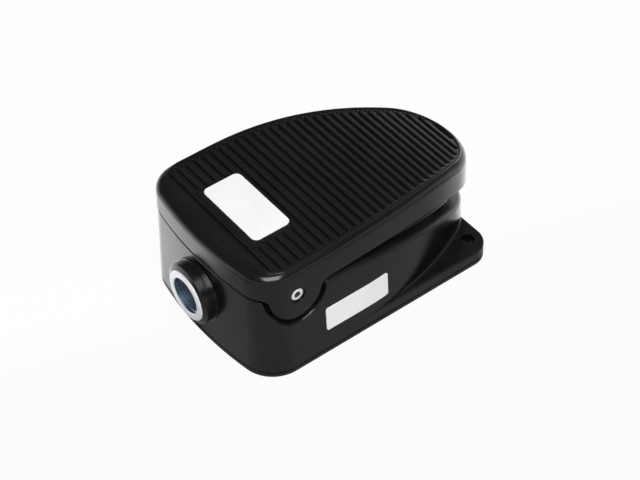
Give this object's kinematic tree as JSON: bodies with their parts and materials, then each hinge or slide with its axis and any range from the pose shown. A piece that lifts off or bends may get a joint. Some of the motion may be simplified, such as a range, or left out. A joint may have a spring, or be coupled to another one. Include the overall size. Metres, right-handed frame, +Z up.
{
  "type": "foot switch",
  "caption": "Black cast foot switch with a ribbed D-shaped treadle hinged over a flanged base, a threaded conduit entry and an enclosed snap-action switch.",
  "frame": {"origin": "middle of the bounding box, on the floor the cover plate rests on", "axes": "+Y towards the hinge end with the conduit entry, -Y towards the free end of the treadle, +X to the operator's right, +Z up"},
  "size_m": [0.1098, 0.18, 0.0704],
  "materials": {
    "cast_black": "black semi-gloss paint on cast metal",
    "plate_black": "black painted sheet",
    "zinc": "bright zinc plate",
    "steel": "plated steel",
    "brass": "plain brass",
    "rubber": "black rubber",
    "phenolic": "dark moulded plastic",
    "red_button": "red moulded plastic",
    "label": "bare white label",
    "bronze": "sintered bronze",
    "green_screw": "green passivated steel",
    "fibre": "grey fibre sheet"
  },
  "bodies": {
    "base": {"base_housing": "cast_black", "bottom_gasket": "rubber", "bottom_plate": "plate_black", "cover_screws": "steel", "insulating_liner": "fibre", "conduit_bushing": "zinc", "conduit_locknut": "zinc", "hinge_bushes": "bronze", "pin_guide": "bronze", "guide_seal": "rubber", "switch_case": "phenolic", "switch_cap": "phenolic", "switch_terminals": "brass", "terminal_screws": "steel", "switch_bracket": "steel", "bracket_screws": "steel", "switch_screws": "steel", "switch_nuts": "steel", "ground_screw": "green_screw", "ground_washer": "brass", "return_springs": "steel", "stop_bumpers": "rubber", "side_label": "label"},
    "treadle_assembly": {"treadle": "cast_black", "hinge_pin": "zinc", "adjusting_screw": "steel", "adjusting_nut": "steel", "limit_bolt": "steel", "limit_nut": "steel", "limit_washer": "rubber", "top_label": "label"},
    "push_rod": {"push_pin": "steel"},
    "button": {"switch_button": "red_button"}
  },
  "joints": [
    {"name": "treadle_hinge", "type": "hinge", "parent": "base", "child": "treadle_assembly", "pos_m": [0, 0.0558, 0.053], "axis": [1, 0, 0], "range_deg": [0, 4.2], "stiffness_Nm_per_rad": 6, "springref_deg": -14.32, "deforming": ["return_springs"]},
    {"name": "push_pin_slide", "type": "slide", "parent": "base", "child": "push_rod", "axis": [0, 0, -1], "range_m": [0, 0.0017]},
    {"name": "button_slide", "type": "slide", "parent": "base", "child": "button", "axis": [0, 0, -1], "range_m": [0, 0.0017]}
  ],
  "couplings": [
    {"joint": "push_pin_slide", "follows": "treadle_hinge", "m_per_rad": 0.0218},
    {"joint": "button_slide", "follows": "treadle_hinge", "m_per_rad": 0.0218}
  ]
}
